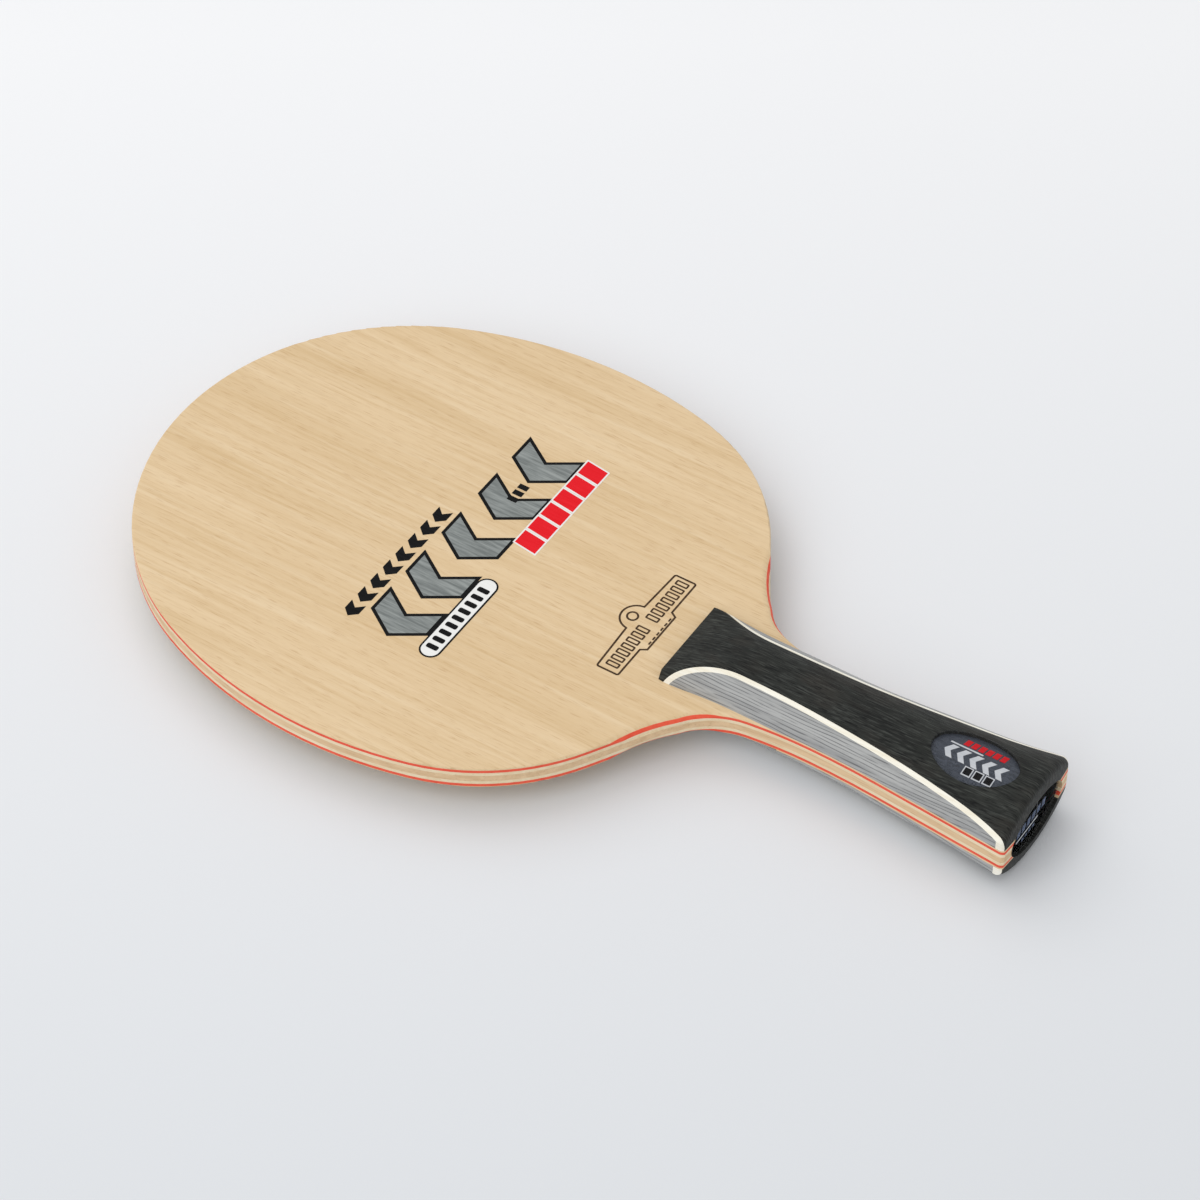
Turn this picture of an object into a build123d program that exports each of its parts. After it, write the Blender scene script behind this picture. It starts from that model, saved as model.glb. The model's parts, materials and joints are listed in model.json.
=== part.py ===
from build123d import *
from build123d import SkipClean
import os

# Table tennis blade: seven glued wood plies, a laminated handle half on each face, one badge on
# the front crown and one at the butt.  Millimetres.  X is the width, +Y runs from the handle to
# the head tip, +Z is the normal of the front hitting face.  Everything is modelled about the
# mid-plane of the core and lifted at export, so the back of the handle touches Z = 0.

# ---- blade outline ---------------------------------------------------------------------------
overall_length = 258.0          # head tip to the middle of the butt
head_length = 157.0             # head tip to the front edge of the handle
tip_radius, tip_turn = 71.2, 66.4
side_radius, side_turn = 115.7, 39.1
lower_radius, lower_turn = 59.0, 43.8
run_length = 16.56              # straight between the head and the shoulder
ease_radius, ease_turn = 61.6, 10.2
shoulder_radius, shoulder_turn = 20.7, 41.6
neck_radius, neck_turn = 130.0, 7.5
flank_radius, flank_turn = 241.5, 4.73
edge_radius = 0.5               # sanded edge of the head

# ---- plies -----------------------------------------------------------------------------------
core_thickness = 2.0
crossband_thickness = 1.0
dyed_thickness = 0.9
face_thickness = 0.5
blade_half = core_thickness / 2 + crossband_thickness + dyed_thickness + face_thickness

# ---- handle ----------------------------------------------------------------------------------
handle_half = 11.5              # mid-plane to crown
waist_half = 13.65              # half width of the oval up to waist_y
waist_y = -70.0
flare_radius = 180.0            # plan radius where the oval starts to widen
flare_slope = 0.1               # widening from there to the butt
front_edge_height = 2.5         # of a handle half above the face veneer, at its front edge
ramp_length = 21.5              # front slope of a handle half
ramp_radius = 64.0
butt_radius = 170.0             # plan radius of the bowed butt end
butt_side_radius = 62.0         # the same bow seen from the side
butt_edge_radius = 1.8
butt_corner_radius = 1.6

# ---- inlay strip between the dark scale and the grey side panel --------------------------------
strip_thickness = 1.1
strip_x, strip_y = 7.35, -48.0  # where the strip comes closest to the centre line
strip_front_radius = 26.3
strip_rear_radius, strip_rear_turn = 400.0, 9.2
strip_end_radius = 85.0         # the strip swings out to the ply edge at the butt

# ---- sanded shoulders: plan arcs where the roundover meets the face, as x, y, radius ---------------
roundover = 2.2
upper_roundover = (52.16, -70.48, 44.93)
lower_roundover = (30.54, -51.93, 16.89)
upper_roundover_end = -40.6     # y where the lower arc takes over

# ---- badges ---------------------------------------------------------------------------------------
badge_half_width, badge_half_length, badge_y = 7.8, 11.7, -110.4
badge_plate_thickness = 0.4
badge_lens_thickness = 1.0
badge_proud = 0.25              # clear dome above the crown
end_half_width, end_half_height = 12.9, 7.1
end_recess_y = -127.0           # floor of the recess in the butt
end_plate_thickness = 0.5
end_lens_inset = 0.45           # clear lens below the bowed end face

# ---- mounting face ----------------------------------------------------------------------------------
rubber_gap = 1.0                # rubber sheets stop this far short of the handle

tip_y = overall_length / 2
butt_y = -overall_length / 2
front_y = tip_y - head_length
split_y = front_y + rubber_gap
far = 300.0


def oval_half_width(y):
    run = max(0, waist_y - y)
    curved = min(run, flare_slope * flare_radius)
    return waist_half + curved ** 2 / (2 * flare_radius) + flare_slope * (run - curved)


def envelope(grow=0.0):
    """Oval handle body, flared towards the butt, before its ends are shaped."""
    stations = [front_y + 3, -45, -58, -68, -78, -88, -100, -115, butt_y - 4]
    ovals = [
        Plane.XZ.offset(-y) * Ellipse(oval_half_width(y) + grow, handle_half + grow)
        for y in stations
    ]
    return loft(ovals)


def slab(z0, z1, y0=-far, y1=far):
    """Block from z0 to z1 and y0 to y1, wider than the blade."""
    return Pos(0, (y0 + y1) / 2, (z0 + z1) / 2) * Box(far, y1 - y0, z1 - z0)


def outline_face(*curves):
    return make_face([edge for curve in curves for edge in curve.edges()])


def both_sides(tool):
    return [tool, tool.mirror(Plane.YZ)]


def turned(profile, x, y):
    """Solid turned about the vertical line through (x, y); the profile is drawn as (radius, z)."""
    return Pos(x, y, 0) * revolve(Plane.XZ * profile, Axis.Z)


def butt_barrel(inset=0.0):
    """Solid whose rear side is the butt's double bow, moved in by inset."""
    plan = butt_radius - inset
    sag = 15 ** 2 / (2 * butt_side_radius)
    face = outline_face(
        ThreePointArc((plan - sag, -15), (plan, 0), (plan - sag, 15)),
        Polyline((plan - sag, 15), (0, 15), (0, -15), (plan - sag, -15)),
    )
    return turned(face, 0, butt_y + butt_radius)


# ---- plan outline: right side from the tip to the butt, as tangent arcs ----------------------------
tip = JernArc((0, tip_y), (1, 0), tip_radius, -tip_turn)
side = JernArc(tip @ 1, tip % 1, side_radius, -side_turn)
lower = JernArc(side @ 1, side % 1, lower_radius, -lower_turn)
run = Line(lower @ 1, (lower @ 1) + (lower % 1) * run_length)
ease = JernArc(run @ 1, run % 1, ease_radius, ease_turn)
shoulder = JernArc(ease @ 1, ease % 1, shoulder_radius, shoulder_turn)
neck_front = JernArc(shoulder @ 1, shoulder % 1, neck_radius, neck_turn / 2)
neck_rear = JernArc(neck_front @ 1, neck_front % 1, neck_radius, neck_turn / 2)
flank = JernArc(neck_rear @ 1, neck_rear % 1, flank_radius, flank_turn)
skirt = Line(flank @ 1, (flank @ 1) + (flank % 1) * 45)

head_curves = [tip, side, lower, run, ease, shoulder, neck_front]
handle_curves = [neck_rear, flank, skirt]


def plan_face(curves):
    """Face between the given right-hand curves and their mirror images."""
    mirrored = [edge.mirror(Plane.YZ) for edge in curves]
    start, end = curves[0] @ 0, curves[-1] @ 1
    ends = [Line((-end.X, end.Y), end)]
    if start.X > 0.01:
        ends.append(Line((-start.X, start.Y), start))
    return outline_face(*curves, *mirrored, *ends)


# ---- head with a sanded rim, and a deeper roundover at the shoulders ---------------------------------
joint_y = (neck_front @ 1).Y
head = extrude(plan_face(head_curves), amount=blade_half, both=True)
rim = head.edges().filter_by(lambda e: abs(abs(e.center().Z) - blade_half) < 0.01)
rim = rim.filter_by(lambda e: e.bounding_box().max.Y > joint_y + 0.01)
head = fillet(rim, edge_radius)


def shoulder_tool(x, y, radius):
    """Cutter that leaves a roundover along a concave plan arc."""
    low, high = blade_half - roundover, blade_half + 1
    face = outline_face(
        RadiusArc((radius - roundover, low), (radius, blade_half), roundover),
        Polyline(
            (radius, blade_half), (radius, high), (radius - 12, high), (radius - 12, low), (radius - roundover, low)
        ),
    )
    return turned(face, x, y)


upper_tool = shoulder_tool(*upper_roundover) & slab(-20, 20, y0=upper_roundover_end)
roundover_tools = both_sides(upper_tool) + both_sides(shoulder_tool(*lower_roundover))
roundover_tools += [tool.mirror(Plane.XY) for tool in roundover_tools]
head = head - roundover_tools

# ---- handle body: oval, flat along the ply edges, bowed butt with a rounded rim ----------------------
body = envelope() & butt_barrel()
butt_rim = body.edges().filter_by(lambda e: e.bounding_box().max.Y < butt_y + 6 and e.length > 20)
body = fillet(butt_rim, butt_edge_radius)

plan = extrude(plan_face(head_curves + handle_curves), amount=20, both=True)
plan = plan & Pos(0, butt_y + butt_radius, 0) * Cylinder(butt_radius + 0.2, 60)
corners = plan.edges().filter_by(Axis.Z).sort_by(Axis.Y)[:2]
body = body & fillet(corners, butt_corner_radius)

# oval recess in the butt, through the plies and both handle halves
end_oval = Plane.XZ.offset(-end_recess_y) * Ellipse(end_half_width, end_half_height)
body = body - extrude(end_oval, 20)

# ---- blade blank: head plus the tang inside the handle ------------------------------------------------
blank = head + (body & slab(-blade_half, blade_half, y1=joint_y))


def ply(z0, z1):
    return blank & slab(z0, z1)


def face_veneer(z0, z1):
    """Face ply whose hitting area, ahead of the handle, is a separate coplanar face."""
    ahead = blank & slab(z0, z1, y0=split_y)
    behind = blank & slab(z0, z1, y1=split_y)
    with SkipClean():
        return ahead + behind


z_core = core_thickness / 2
z_cross = z_core + crossband_thickness
z_dyed = z_cross + dyed_thickness
nodes = {
    "core_veneer": ply(-z_core, z_core),
    "crossband_front": ply(z_core, z_cross),
    "crossband_back": ply(-z_cross, -z_core),
    "dyed_veneer_front": ply(z_cross, z_dyed),
    "dyed_veneer_back": ply(-z_dyed, -z_cross),
    "face_veneer_front": face_veneer(z_dyed, blade_half),
    "face_veneer_back": face_veneer(-blade_half, -z_dyed),
}

# ---- front handle half --------------------------------------------------------------------------------
ramp_start = (front_y - ramp_length, handle_half)
ramp_end = (front_y, blade_half + front_edge_height)
ramp = RadiusArc(ramp_start, ramp_end, ramp_radius)
above = Polyline(ramp_end, (front_y + 9, ramp_end[1]), (front_y + 9, 20), (ramp_start[0], 20), ramp_start)
ramp_tool = extrude(Plane.YZ * outline_face(ramp, above), 30, both=True)
half = (body & slab(blade_half, 20, y1=front_y)) - ramp_tool


def outside_strip(offset):
    """Handle volume outboard of the inlay line on the +X side; offset moves the line outboard."""
    apex = (strip_x + offset, strip_y)
    front = JernArc(apex, (0, 1), strip_front_radius - offset, -60)
    rear = JernArc(apex, (0, -1), strip_rear_radius - offset, strip_rear_turn)
    end = JernArc(rear @ 1, rear % 1, strip_end_radius - offset, 30)
    closing = Polyline(front @ 1, (40, (front @ 1).Y), (40, (end @ 1).Y), end @ 1)
    return extrude(outline_face(front, rear, end, closing), 20)


outer = outside_strip(strip_thickness / 2)
inner = outside_strip(-strip_thickness / 2)
panel = half & outer
strip = (half & inner) - outer
center = half - both_sides(inner)

for side_name, flip in (("right", False), ("left", True)):
    for name, solid in (("inlay_strip", strip), ("side_panel", panel)):
        turned_solid = solid.mirror(Plane.YZ) if flip else solid
        nodes[name + "_front_" + side_name] = turned_solid
        nodes[name + "_back_" + side_name] = turned_solid.mirror(Plane.XY)
nodes["handle_scale_back"] = center.mirror(Plane.XY)

# ---- badge on the front crown: curved plate and clear dome in an oval recess -----------------------------
badge_prism = Pos(0, badge_y, 0) * extrude(Ellipse(badge_half_width, badge_half_length), 20)
floor = envelope(-badge_plate_thickness - badge_lens_thickness)
bed = envelope(-badge_lens_thickness)
dome = envelope(badge_proud)
nodes["handle_scale_front"] = center - (badge_prism - floor)
nodes["badge_plate"] = (badge_prism & bed) - floor
nodes["badge_lens"] = (badge_prism & dome) - bed

# ---- butt badge: flat plate and clear lens in the end recess ----------------------------------------------
end_prism = extrude(end_oval, 20)
plate_top = end_recess_y - end_plate_thickness
nodes["end_plate"] = end_prism & slab(-20, 20, y0=plate_top, y1=end_recess_y)
nodes["end_lens"] = end_prism & slab(-20, 20, y1=plate_top) & butt_barrel(end_lens_inset)

# ---- export -------------------------------------------------------------------------------------------------
os.makedirs("parts", exist_ok=True)
for name, solid in nodes.items():
    export_step(Pos(0, 0, handle_half) * solid, "parts/" + name + ".step")
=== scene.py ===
import json
import math
import bpy
from mathutils import Matrix, Vector
from mathutils.bvhtree import BVHTree


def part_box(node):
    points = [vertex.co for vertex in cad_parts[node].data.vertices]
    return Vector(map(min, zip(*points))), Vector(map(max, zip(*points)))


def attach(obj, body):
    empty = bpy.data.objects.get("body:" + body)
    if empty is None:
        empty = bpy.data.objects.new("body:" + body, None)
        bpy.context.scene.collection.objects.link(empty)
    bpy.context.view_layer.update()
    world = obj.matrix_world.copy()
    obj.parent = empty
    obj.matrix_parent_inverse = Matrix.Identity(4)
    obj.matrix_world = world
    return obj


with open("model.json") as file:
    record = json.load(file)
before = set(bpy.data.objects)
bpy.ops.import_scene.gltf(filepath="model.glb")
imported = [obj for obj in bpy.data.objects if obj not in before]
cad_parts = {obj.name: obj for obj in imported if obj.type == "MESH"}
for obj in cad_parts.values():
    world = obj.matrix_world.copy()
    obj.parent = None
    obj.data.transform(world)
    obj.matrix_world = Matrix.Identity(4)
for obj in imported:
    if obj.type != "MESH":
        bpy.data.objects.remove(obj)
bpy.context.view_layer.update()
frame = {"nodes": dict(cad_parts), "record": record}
nodes = frame["nodes"]
MM = 0.001
MID_PLANE = 11.5 * MM       # height of the middle of the ply stack

# ------------------------------------------------------------------------------------------
# Material helpers
# ------------------------------------------------------------------------------------------


def srgb(r, g, b):
    """8-bit display colour as a linear RGBA colour."""
    def linear(c):
        c /= 255
        return c / 12.92 if c <= 0.04045 else ((c + 0.055) / 1.055) ** 2.4
    return (linear(r), linear(g), linear(b), 1.0)


class Look:
    """One Principled material and the nodes that feed it. Sizes are in millimetres."""

    def __init__(self, name, **sockets):
        self.mat = bpy.data.materials.new(name)
        self.mat.use_nodes = True
        self.tree = self.mat.node_tree
        self.bsdf = self.tree.nodes["Principled BSDF"]
        for key, value in sockets.items():
            self.bsdf.inputs[key.replace("_", " ")].default_value = value
        self.place = self.node("ShaderNodeTexCoord").outputs["Object"]

    def node(self, kind, **settings):
        made = self.tree.nodes.new(kind)
        for key, value in settings.items():
            setattr(made, key, value)
        return made

    def feed(self, socket, source):
        if hasattr(source, "is_output"):
            self.tree.links.new(source, socket)
        else:
            socket.default_value = source

    def math(self, operation, a, b=0.0, clamp=False):
        made = self.node("ShaderNodeMath", operation=operation, use_clamp=clamp)
        self.feed(made.inputs[0], a)
        self.feed(made.inputs[1], b)
        return made.outputs[0]

    def axis(self, letter, source=None):
        """One coordinate of the place, in metres."""
        split = self.node("ShaderNodeSeparateXYZ")
        self.feed(split.inputs[0], source or self.place)
        return split.outputs[letter]

    def grain(self, across, along, detail=3.0, seed=0.0, roughness=0.5, wave=0.0, rise=1.0):
        """Noise drawn out along Y; across and along are its sizes, and rise times across its height."""
        place = self.place
        if wave:
            low = self.node("ShaderNodeTexNoise")
            self.feed(low.inputs["Vector"], self.scaled(40, 110, 40, seed + 5))
            low.inputs["Scale"].default_value = 1.0
            low.inputs["Detail"].default_value = 1.0
            shift = self.node("ShaderNodeVectorMath", operation="MULTIPLY_ADD")
            self.feed(shift.inputs[0], low.outputs["Color"])
            shift.inputs[1].default_value = (wave * MM, 0, 0)
            self.feed(shift.inputs[2], place)
            place = shift.outputs[0]
        noise = self.node("ShaderNodeTexNoise")
        self.feed(noise.inputs["Vector"], self.scaled(across, along, across * rise, seed, place))
        noise.inputs["Scale"].default_value = 1.0
        noise.inputs["Detail"].default_value = detail
        noise.inputs["Roughness"].default_value = roughness
        return noise.outputs["Fac"]

    def scaled(self, x, y, z, seed=0.0, place=None):
        mapping = self.node("ShaderNodeMapping")
        self.feed(mapping.inputs["Vector"], place or self.place)
        mapping.inputs["Scale"].default_value = (1000 / x, 1000 / y, 1000 / z)
        mapping.inputs["Location"].default_value = (seed * 3.1, seed * 1.7, seed * 2.3)
        return mapping.outputs[0]

    def between(self, value, low, high):
        """value as 0 at low and 1 at high, held inside that range."""
        made = self.node("ShaderNodeMapRange")
        self.feed(made.inputs["Value"], value)
        made.inputs["From Min"].default_value = low
        made.inputs["From Max"].default_value = high
        return made.outputs[0]

    def mix(self, factor, a, b):
        made = self.node("ShaderNodeMix", data_type="RGBA")
        self.feed(made.inputs["Factor"], factor)
        self.feed(made.inputs["A"], a)
        self.feed(made.inputs["B"], b)
        return made.outputs["Result"]

    def ridge(self, value, width):
        """1 on the thin lines where value crosses one half, 0 away from them."""
        away = self.math("ABSOLUTE", self.math("SUBTRACT", value, 0.5))
        return self.between(away, width, 0.0)

    def finish(self, color, roughness, height, depth_mm, strength=1.0):
        self.feed(self.bsdf.inputs["Base Color"], color)
        self.feed(self.bsdf.inputs["Roughness"], roughness)
        bump = self.node("ShaderNodeBump")
        bump.inputs["Strength"].default_value = strength
        bump.inputs["Distance"].default_value = depth_mm * MM
        self.feed(bump.inputs["Height"], height)
        self.feed(self.bsdf.inputs["Normal"], bump.outputs[0])
        return self.mat


# ------------------------------------------------------------------------------------------
# Woods
# ------------------------------------------------------------------------------------------


def face_wood():
    look = Look("face_wood", Specular_IOR_Level=0.3)
    bands = look.between(look.grain(7, 170, 3, 1, 0.55, wave=5), 0.34, 0.68)
    streaks = look.between(look.grain(0.95, 38, 4, 2, 0.62, wave=3), 0.46, 0.70)
    pale = look.between(look.grain(1.6, 50, 3, 3, 0.5, wave=3), 0.52, 0.74)
    pores = look.between(look.grain(0.3, 5.0, 2, 4, 0.5, wave=3), 0.56, 0.74)
    color = look.mix(bands, srgb(235, 208, 168), srgb(226, 197, 154))
    color = look.mix(look.math("MULTIPLY", streaks, 0.46), color, srgb(209, 176, 128))
    color = look.mix(look.math("MULTIPLY", pale, 0.45), color, srgb(243, 221, 186))
    color = look.mix(look.math("MULTIPLY", pores, 0.5), color, srgb(196, 158, 112))
    rough = look.math("ADD", look.math("MULTIPLY", streaks, 0.1), 0.5)
    height = look.math("SUBTRACT", 1.0, look.math("MAXIMUM", pores, look.math("MULTIPLY", streaks, 0.4)))
    return look.finish(color, rough, height, 0.03, 0.5)


def ply_wood(name, light, dark, line, seed, depth=0.02):
    look = Look(name, Specular_IOR_Level=0.25)
    bands = look.between(look.grain(1.6, 30, 3, seed), 0.36, 0.66)
    lines = look.between(look.grain(0.35, 9, 3, seed + 1), 0.55, 0.72)
    color = look.mix(bands, light, dark)
    color = look.mix(look.math("MULTIPLY", lines, 0.45), color, line)
    rough = look.math("ADD", look.math("MULTIPLY", bands, 0.12), 0.5)
    return look.finish(color, rough, look.math("SUBTRACT", 1.0, lines), depth, 0.5)


def charcoal_wood():
    look = Look("charcoal_wood", Specular_IOR_Level=0.22)
    mottle = look.between(look.grain(4, 30, 3, 11, 0.6, rise=3), 0.36, 0.66)
    fibres = look.between(look.grain(0.32, 7, 3, 12, 0.6, wave=2, rise=6), 0.42, 0.64)
    pale = look.between(look.grain(0.32, 6, 3, 13, 0.6, wave=2, rise=6), 0.50, 0.70)
    pores = look.between(look.grain(0.3, 3.5, 2, 14, rise=5), 0.55, 0.67)
    warm = look.between(look.grain(7, 18, 2, 15), 0.50, 0.66)
    color = look.mix(mottle, srgb(49, 51, 48), srgb(35, 37, 35))
    color = look.mix(look.math("MULTIPLY", fibres, 0.6), color, srgb(26, 27, 27))
    color = look.mix(look.math("MULTIPLY", pale, 0.6), color, srgb(84, 87, 83))
    color = look.mix(look.math("MULTIPLY", warm, 0.25), color, srgb(58, 50, 44))
    color = look.mix(look.math("MULTIPLY", pores, 0.75), color, srgb(12, 13, 14))
    rough = look.math("ADD", look.math("MULTIPLY", fibres, 0.15), 0.48)
    height = look.math("SUBTRACT", 1.0, look.math("MAXIMUM", pores, look.math("MULTIPLY", fibres, 0.5)))
    return look.finish(color, rough, height, 0.04, 0.7)


SEAM_PITCH = 1.25 * MM


def grey_wood():
    """Grey laminate: fine dark seams run along the handle and break off here and there."""
    look = Look("grey_wood", Specular_IOR_Level=0.25)
    bands = look.between(look.grain(1.5, 60, 3, 21, 0.5), 0.38, 0.64)
    girth = look.math(
        "SUBTRACT",
        look.math("ABSOLUTE", look.axis("X")),
        look.math("ABSOLUTE", look.math("SUBTRACT", look.axis("Z"), MID_PLANE)),
    )
    drift = look.math("MULTIPLY", look.grain(4, 34, 2, 22, 0.5), 2.6)
    turns = look.math("ADD", look.math("MULTIPLY", girth, 1 / SEAM_PITCH), drift)
    seams = look.ridge(look.math("FRACT", turns), 0.2)
    breaks = look.between(look.grain(0.9, 9, 2, 23), 0.34, 0.50)
    pores = look.between(look.grain(0.3, 5, 2, 24), 0.56, 0.72)
    color = look.mix(bands, srgb(182, 183, 182), srgb(160, 161, 161))
    seam = look.math("MULTIPLY", look.math("MULTIPLY", seams, breaks), 0.85)
    color = look.mix(seam, color, srgb(84, 85, 88))
    color = look.mix(look.math("MULTIPLY", pores, 0.35), color, srgb(120, 121, 123))
    rough = look.math("ADD", look.math("MULTIPLY", bands, 0.1), 0.5)
    height = look.math("SUBTRACT", 1.0, look.math("MAXIMUM", pores, seam))
    return look.finish(color, rough, height, 0.04, 0.7)


def inlay_wood():
    look = Look("inlay_wood", Specular_IOR_Level=0.3)
    bands = look.between(look.grain(0.8, 14, 3, 31), 0.36, 0.66)
    pores = look.between(look.grain(0.25, 3, 2, 32), 0.56, 0.74)
    color = look.mix(bands, srgb(255, 252, 240), srgb(248, 241, 222))
    color = look.mix(look.math("MULTIPLY", pores, 0.3), color, srgb(210, 195, 165))
    return look.finish(color, 0.5, look.math("SUBTRACT", 1.0, pores), 0.03, 0.5)


def print_ink(name, base, other, seed, gloss=0.5):
    """Ink on the veneer: the grain shows through as fine streaks."""
    look = Look(name, Specular_IOR_Level=0.15)
    streaks = look.between(look.grain(0.9, 12, 4, seed, 0.65, wave=2), 0.38, 0.68)
    pores = look.between(look.grain(0.3, 5, 2, seed + 1), 0.58, 0.74)
    color = look.mix(streaks, base, other)
    rough = look.math("ADD", look.math("MULTIPLY", pores, 0.2), gloss)
    return look.finish(color, rough, look.math("SUBTRACT", 1.0, pores), 0.02, 0.6)


def badge_foil(name, base, other, seed, roughness):
    """Printed plate under a badge's clear lens."""
    look = Look(name, Specular_IOR_Level=0.4)
    brushed = look.between(look.grain(0.5, 3, 3, seed), 0.35, 0.65)
    return look.finish(look.mix(brushed, base, other), roughness, brushed, 0.01, 0.5)


def clear_resin(name, tint, density):
    """Gloss skin that light passes through, over a printed plate."""
    look = Look(name, IOR=1.5, Alpha=density, Specular_IOR_Level=0.8)
    ripple = look.grain(6, 6, 2, 41)
    scuffs = look.between(look.grain(0.4, 2.5, 3, 42), 0.60, 0.80)
    rough = look.math("ADD", look.math("MULTIPLY", scuffs, 0.05), 0.04)
    return look.finish(tint, rough, ripple, 0.02, 0.3)


woods = {
    "face_wood": face_wood(),
    "red_wood": ply_wood("red_wood", srgb(246, 100, 74), srgb(238, 88, 64), srgb(216, 70, 50), 51),
    "cream_wood": ply_wood("cream_wood", srgb(244, 227, 194), srgb(236, 214, 176), srgb(216, 190, 148), 61),
    "core_wood": ply_wood("core_wood", srgb(234, 203, 162), srgb(221, 188, 147), srgb(188, 152, 112), 71),
    "charcoal_wood": charcoal_wood(),
    "grey_wood": grey_wood(),
    "inlay_wood": inlay_wood(),
    "badge_print": badge_foil("badge_print", srgb(76, 82, 93), srgb(86, 92, 104), 81, 0.35),
    "end_print": badge_foil("end_print", srgb(6, 7, 9), srgb(12, 13, 17), 91, 0.4),
    "clear_resin": clear_resin("clear_resin", srgb(24, 26, 30), 0.16),
}
for part in frame["record"]["subparts"]:
    shown = nodes[part["node"]]
    shown.data.materials.clear()
    shown.data.materials.append(woods[part["material_slot"]])
nodes["end_lens"].data.materials[0] = clear_resin("end_resin", srgb(4, 4, 5), 0.05)

# ------------------------------------------------------------------------------------------
# Prints: thin raised layers, generic marks in place of any lettering. Outlines in millimetres
# ------------------------------------------------------------------------------------------

inks = {
    "black": print_ink("ink_black", srgb(12, 12, 13), srgb(22, 22, 24), 101),
    "silver": print_ink("ink_silver", srgb(118, 123, 122), srgb(160, 165, 163), 111),
    "red": print_ink("ink_red", srgb(232, 22, 34), srgb(240, 32, 44), 121),
    "white": print_ink("ink_white", srgb(246, 246, 244), srgb(236, 236, 233), 131),
    "brown": print_ink("ink_brown", srgb(62, 46, 32), srgb(88, 66, 46), 141),
    "pale": print_ink("ink_pale", srgb(236, 239, 244), srgb(220, 225, 232), 151),
    "blue": print_ink("ink_blue", srgb(98, 112, 140), srgb(70, 82, 106), 161),
}
slots = {ink: "print_" + ink for ink in inks}
slots["pale"] = "print_white"
slots["blue"] = "print_silver"
LAYER = 0.02                # height of one print level
FOOT = 0.25                 # share of a layer that the underside of a print stands off
DROP = 0.05                 # metres above a surface from which points are put onto it


def grown(loop, distance):
    """The closed outline moved outwards, or inwards for a negative distance."""
    moved = []
    for i, point in enumerate(loop):
        before = Vector(loop[i - 1])
        here = Vector(point)
        after = Vector(loop[(i + 1) % len(loop)])
        first = (here - before).normalized()
        second = (after - here).normalized()
        out = Vector((first.y + second.y, -first.x - second.x))
        out /= max(out.length_squared / 2, 0.2)
        moved.append(tuple(here + out * distance))
    return moved


def slanted(x0, x1, y0, y1, lean=0.0):
    return [(x0, y0), (x1, y0), (x1 + lean, y1), (x0 + lean, y1)]


def chevron(x0, x1, y0, y1, stroke):
    """Broad arrowhead mark that points towards -X."""
    middle = (y0 + y1) / 2
    return [(x0, middle), (x1 - stroke, y0), (x1, y0), (x0 + stroke, middle), (x1, y1), (x1 - stroke, y1)]


def arc(x, y, radius, start, end, steps=14):
    turn = (end - start) / steps
    angles = [math.radians(start + turn * i) for i in range(steps + 1)]
    return [(x + radius * math.cos(a), y + radius * math.sin(a)) for a in angles]


def capsule(x0, x1, y0, y1):
    r = (y1 - y0) / 2
    return arc(x1 - r, y0 + r, r, -90, 90) + arc(x0 + r, y0 + r, r, 90, 270)


def rounded(x0, x1, y0, y1, r):
    corners = [(x1 - r, y0 + r, -90), (x1 - r, y1 - r, 0), (x0 + r, y1 - r, 90), (x0 + r, y0 + r, 180)]
    return [p for x, y, a in corners for p in arc(x, y, r, a, a + 90, 5)]


def printed(name, ink, loops, put, level=1, holes=None):
    """One piece: each outline as a thin slab, or a thin ring where it has a hole.

    put(x, y, lift) gives the place of a point of the outline, lift millimetres above the surface."""
    verts, faces = [], []
    holes = holes or [None] * len(loops)
    for loop, hole in zip(loops, holes):
        rims = [loop, hole] if hole else [loop]
        base = len(verts)
        count = len(loop)
        for rim in rims:
            verts += [put(x, y, LAYER * level) for x, y in rim]
            verts += [put(x, y, LAYER * FOOT) for x, y in rim]
        ring = range(count)
        if hole:
            for i in ring:
                j = (i + 1) % count
                outer, inner = base, base + 2 * count
                faces.append((outer + i, outer + j, inner + j, inner + i))
                faces.append((outer + count + j, outer + count + i, inner + count + i, inner + count + j))
        else:
            faces.append([base + i for i in ring])
            faces.append([base + count + i for i in reversed(ring)])
        for k, rim in enumerate(rims):
            start = base + 2 * k * count
            for i in ring:
                j = (i + 1) % count
                side = (start + i, start + count + i, start + count + j, start + j)
                faces.append(side if k == 0 else side[::-1])
    mesh = bpy.data.meshes.new(name)
    mesh.from_pydata(verts, [], faces)
    mesh.materials.append(inks[ink])
    mesh.update()
    piece = bpy.data.objects.new(name, mesh)
    bpy.context.scene.collection.objects.link(piece)
    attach(piece, "root")
    return piece


face_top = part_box("face_veneer_front")[1].z


def on_face(x, y, lift):
    return (x * MM, y * MM, face_top + lift * MM)


def print_on_face(name, ink, loops, level=1, holes=None):
    return printed(name, ink, loops, on_face, level, holes)


# big outlined chevrons, small black chevrons above them
blocks = [(-39, -24), (-23.5, -8.5), (-7, 8), (10, 25), (26, 41)]
big = [chevron(x0, x1, 28.6, 46.3, 9.2) for x0, x1 in blocks]
print_on_face("print_chevrons_outline", "black", big, 1)
print_on_face("print_chevrons_fill", "silver", [grown(loop, -0.95) for loop in big], 2)
small = [chevron(-38.5 + 5.66 * i, -33.3 + 5.66 * i, 47.6, 51.9, 3.3) for i in range(8)]
print_on_face("print_small_chevrons", "black", small, 1)
pips = [slanted(18.2 + 2.5 * i, 19.9 + 2.5 * i, 36.0, 38.9) for i in range(3)]
print_on_face("print_pips", "black", pips, 3)

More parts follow.
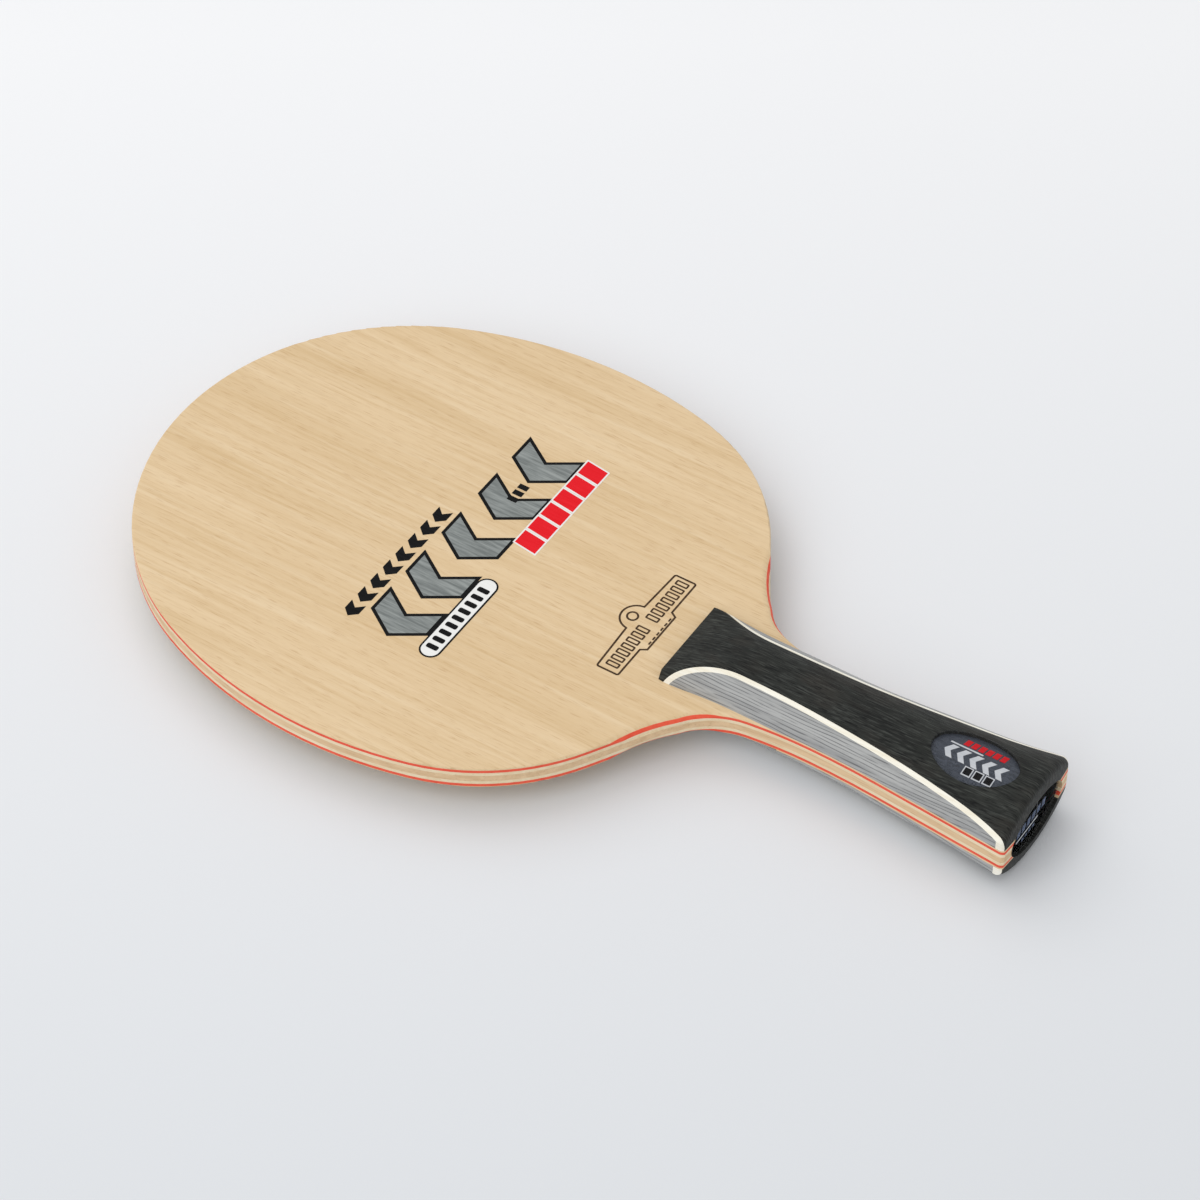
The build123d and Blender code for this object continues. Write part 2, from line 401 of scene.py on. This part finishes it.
# red bars with a thin white edge
bars = [slanted(5.5 + 6.0 * i, 10.5 + 6.0 * i, 21.8, 28.5, 0.9) for i in range(6)]
print_on_face("print_bars_edge", "white", [grown(loop, 0.45) for loop in bars], 3)
print_on_face("print_bars", "red", bars, 4)

# white capsule with nine black ticks
print_on_face("print_capsule_edge", "black", [capsule(-39.6, -8.0, 22.6, 28.6)], 3)
print_on_face("print_capsule", "white", [capsule(-39.1, -8.5, 23.1, 28.1)], 4)
ticks = [rounded(-36.6 + 2.9 * i, -35.0 + 2.9 * i, 23.9, 27.3, 0.5) for i in range(9)]
print_on_face("print_capsule_ticks", "black", ticks, 5)

# thin plaque outline near the handle
plaque = (
    [(-8.2, -19.0), (-7.2, -20.6), (6.4, -20.6), (7.4, -19.0)]
    + arc(18.4, -18.2, 0.8, -90, 0, 5)
    + arc(18.4, -13.0, 0.8, 0, 90, 5)
    + arc(0.75, -12.2, 4.6, 8, 172)
    + arc(-17.9, -13.0, 0.8, 90, 180, 5)
    + arc(-17.9, -18.2, 0.8, 180, 270, 5)
)
print_on_face("print_plaque_line", "brown", [plaque], 1, [grown(plaque, -0.55)])
ball = arc(0.75, -11.0, 1.7, 0, 345, 23)
print_on_face("print_plaque_ball", "brown", [ball], 1, [grown(ball, -0.55)])
marks = [rounded(-16.8 + 2.35 * i, -15.0 + 2.35 * i, -17.6, -13.8, 0.4) for i in range(15) if i != 7]
print_on_face("print_plaque_marks", "brown", marks, 1, [grown(loop, -0.5) for loop in marks])
dashes = [slanted(-5.4 + 1.9 * i, -4.2 + 1.9 * i, -19.9, -19.4) for i in range(6)]
print_on_face("print_plaque_dashes", "brown", dashes, 1)


def dropper(node, axis):
    """Puts points onto a CAD node's surface, seen along an axis."""
    mesh = nodes[node].data
    tree = BVHTree.FromPolygons([v.co for v in mesh.vertices], [p.vertices for p in mesh.polygons])
    out = Vector(axis)

    def put(point, lift):
        hit = tree.ray_cast(point + out * DROP, -out)[0]
        return tuple((hit or point) + out * lift * MM)
    return put


# ------------------------------------------------------------------------------------------
# Badge print under the clear lens, on the curved plate
# ------------------------------------------------------------------------------------------
badge_low, badge_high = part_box("badge_plate")
badge_middle = (badge_low + badge_high) / 2
drop_on_badge = dropper("badge_plate", (0, 0, 1))


def on_badge(s, t, lift):
    """s runs towards the butt and t across the handle."""
    return drop_on_badge(Vector((badge_middle.x + t * MM, badge_middle.y - s * MM, badge_middle.z)), lift)


short = [slanted(-5.0 + 2.0 * i, -3.5 + 2.0 * i, 3.0, 5.3, 0.3) for i in range(6)]
printed("badge_bars", "red", short, on_badge, 4)
printed("badge_line", "pale", [slanted(-8.0, 1.0, 2.05, 2.5)], on_badge, 4)
broad = [chevron(-8.3 + 3.5 * i, -5.2 + 3.5 * i, -2.6, 1.5, 1.7) for i in range(5)]
printed("badge_chevrons", "pale", broad, on_badge, 6)
rims = [slanted(-1.1 + 2.9 * i, 1.4 + 2.9 * i, -5.5, -2.9) for i in range(3)]
printed("badge_pips_edge", "pale", rims, on_badge, 7)
squares = [slanted(-0.8 + 2.9 * i, 1.1 + 2.9 * i, -5.2, -3.2) for i in range(3)]
printed("badge_pips", "black", squares, on_badge, 9)

# faint print on the plate in the butt
end_middle = sum(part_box("end_plate"), Vector()) / 2
drop_on_end = dropper("end_plate", (0, -1, 0))


def on_end(x, z, lift):
    return drop_on_end(Vector((x * MM, end_middle.y, end_middle.z + z * MM)), lift)


end_bars = [slanted(-8.4 + 2.5 * i, -6.7 + 2.5 * i, -0.6, 2.0, 0.3) for i in range(6)]
printed("end_bars", "blue", end_bars, on_end)
printed("end_line", "pale", [slanted(-8.5, 2.5, -2.1, -1.6)], on_end)
end_pips = [slanted(-5.6 + 1.8 * i, -4.4 + 1.8 * i, -4.0, -3.0) for i in range(4)]
printed("end_pips", "blue", end_pips, on_end)

# ------------------------------------------------------------------------------------------
# Camera, light and floor
# ------------------------------------------------------------------------------------------
AZIMUTH, ELEVATION, ROLL = (math.radians(a) for a in (-57.906, 46.598, 0.702))
AIM = Vector((0.0125, 0.0062, 0.0005))
DISTANCE = 1.1403
back = Vector((
    math.sin(AZIMUTH) * math.cos(ELEVATION),
    -math.cos(AZIMUTH) * math.cos(ELEVATION),
    math.sin(ELEVATION),
))
level_right = Vector((math.cos(AZIMUTH), math.sin(AZIMUTH), 0))
level_up = back.cross(level_right)
right = math.cos(ROLL) * level_right + math.sin(ROLL) * level_up
up = math.cos(ROLL) * level_up - math.sin(ROLL) * level_right
camera_data = bpy.data.cameras.new("camera")
camera_data.lens = 132
camera_data.sensor_width = 36
camera_data.clip_end = 20
camera = bpy.data.objects.new("camera", camera_data)
turned = Matrix((right, up, back)).transposed().to_4x4()
camera.matrix_world = Matrix.Translation(AIM + back * DISTANCE) @ turned
bpy.context.scene.collection.objects.link(camera)
bpy.context.scene.camera = camera


def softbox(name, azimuth, elevation, distance, size, power):
    """Square light that faces the middle of the object and leaves no mirror image on it."""
    a, e = math.radians(azimuth), math.radians(elevation)
    place = Vector((math.sin(a) * math.cos(e), -math.cos(a) * math.cos(e), math.sin(e))) * distance
    data = bpy.data.lights.new(name, "AREA")
    data.size = size
    data.energy = power
    lamp = bpy.data.objects.new(name, data)
    lamp.visible_glossy = False
    lamp.visible_transmission = False
    lamp.location = place
    lamp.rotation_euler = place.to_track_quat("Z", "Y").to_euler()
    bpy.context.scene.collection.objects.link(lamp)


softbox("key_light", azimuth=150, elevation=55, distance=3.0, size=3.0, power=26)
softbox("fill_light", azimuth=-95, elevation=48, distance=2.0, size=1.8, power=15)
SKY = 0.55
world = bpy.data.worlds.new("studio")
world.use_nodes = True
world.node_tree.nodes["Background"].inputs["Color"].default_value = (1.0, 1.0, 1.0, 1)
world.node_tree.nodes["Background"].inputs["Strength"].default_value = SKY
bpy.context.scene.world = world

# pale floor, just below the crown of the back handle half, its colour painted a little paler away from the
# front as painted light falloff
FLOOR_REACH = 12
FLOOR_GAP = 0.0001
FADE_ALONG = (0.838, 0.5455, 0)
FADE_FROM, FADE_TO = -0.2, 0.24
floor_corners = [(x * FLOOR_REACH, y * FLOOR_REACH, 0) for x, y in ((-1, -1), (1, -1), (1, 1), (-1, 1))]
floor_mesh = bpy.data.meshes.new("floor")
floor_mesh.from_pydata(floor_corners, [], [(0, 1, 2, 3)])
floor = bpy.data.objects.new("floor", floor_mesh)
floor.location = (0, 0, -FLOOR_GAP)
bpy.context.scene.collection.objects.link(floor)
paper = Look("floor_paper", Roughness=0.9, Specular_IOR_Level=0.1)
along_view = paper.node("ShaderNodeVectorMath", operation="DOT_PRODUCT")
paper.feed(along_view.inputs[0], paper.place)
along_view.inputs[1].default_value = FADE_ALONG
# painted light: the floor colour grows paler along the view direction, standing in for the fall of light
# across the floor
painted_light_fade = paper.between(along_view.outputs["Value"], FADE_FROM, FADE_TO)
paper.feed(paper.bsdf.inputs["Base Color"], paper.mix(painted_light_fade, srgb(225, 228, 232), srgb(251, 252, 254)))
floor_mesh.materials.append(paper.mat)

bpy.context.scene.view_settings.view_transform = "Standard"
